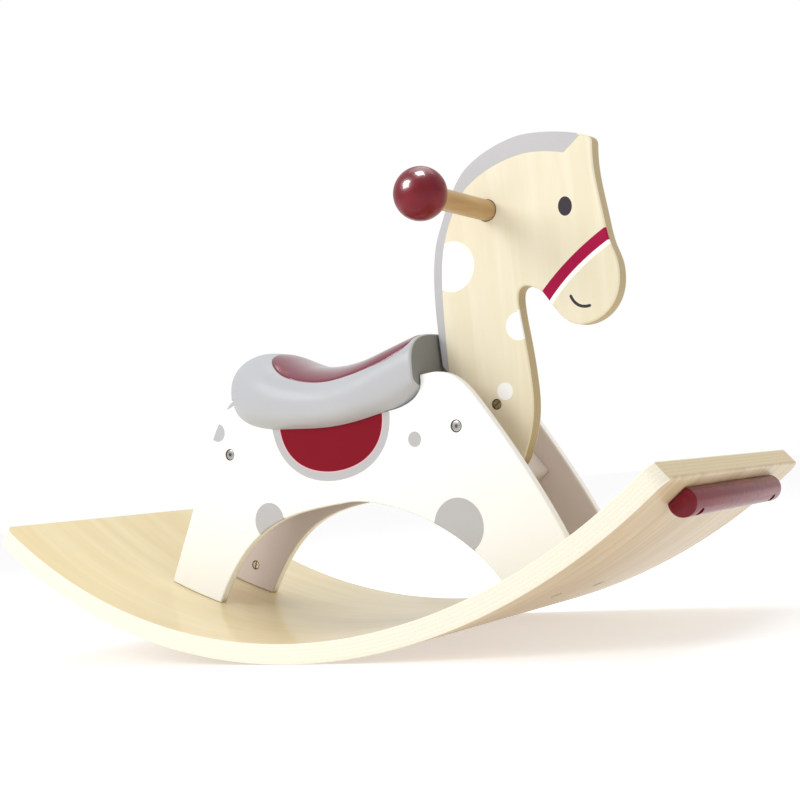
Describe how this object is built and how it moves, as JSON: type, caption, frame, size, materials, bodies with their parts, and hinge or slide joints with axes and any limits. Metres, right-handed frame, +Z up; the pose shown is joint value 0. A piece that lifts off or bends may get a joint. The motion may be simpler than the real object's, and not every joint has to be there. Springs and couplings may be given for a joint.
{
  "type": "rocking horse",
  "caption": "Low toddler's rocking horse: bent plywood rocker board, two leg panels, moulded saddle with inlay, flat head with a crosswise grip bar.",
  "frame": {"origin": "on the floor under the middle of the rocker board, on the horse's centre plane", "axes": "+X forward to the nose, +Y to the horse's left, +Z up with the rocker board level end to end"},
  "size_m": [0.6808, 0.3, 0.4162],
  "materials": {
    "birch_plywood": "clear satin lacquer over birch plywood, plies visible on the long edges",
    "painted_birch": "clear satin birch with a painted mane, spots, eye, smile and bridle",
    "beech_dowel": "clear satin lacquer",
    "white_paint": "satin white paint with grey spots and a painted blanket",
    "crimson_lacquer": "gloss crimson lacquer on turned wood",
    "grey_plastic": "satin to gloss light grey moulding",
    "red_plastic": "gloss deep red inlay",
    "zinc_steel": "bright zinc plate",
    "yellow_zinc": "yellow zinc plate"
  },
  "bodies": {
    "root": {"rocker_board": "birch_plywood", "head_board": "painted_birch", "grip_bar": "beech_dowel", "front_brace": "white_paint", "rear_brace": "white_paint", "saddle": "grey_plastic", "seat_inlay": "red_plastic", "side_panel_left": "white_paint", "grip_ball_left": "crimson_lacquer", "side_panel_right": "white_paint", "grip_ball_right": "crimson_lacquer", "stop_bar_front": "crimson_lacquer", "stop_bar_rear": "crimson_lacquer", "leg_bolt_front_left": "zinc_steel", "leg_nut_front_left": "yellow_zinc", "side_bolt_front_left": "zinc_steel", "brace_nut_front_left": "yellow_zinc", "stop_bar_screw_front_left": "zinc_steel", "leg_bolt_front_right": "zinc_steel", "leg_nut_front_right": "yellow_zinc", "side_bolt_front_right": "zinc_steel", "brace_nut_front_right": "yellow_zinc", "stop_bar_screw_front_right": "zinc_steel", "leg_bolt_rear_left": "zinc_steel", "leg_nut_rear_left": "yellow_zinc", "side_bolt_rear_left": "zinc_steel", "brace_nut_rear_left": "yellow_zinc", "stop_bar_screw_rear_left": "zinc_steel", "leg_bolt_rear_right": "zinc_steel", "leg_nut_rear_right": "yellow_zinc", "side_bolt_rear_right": "zinc_steel", "brace_nut_rear_right": "yellow_zinc", "stop_bar_screw_rear_right": "zinc_steel", "neck_bolt_lower": "zinc_steel", "neck_nut_lower": "yellow_zinc", "neck_bolt_upper": "zinc_steel", "neck_nut_upper": "yellow_zinc"}
  },
  "joints": []
}
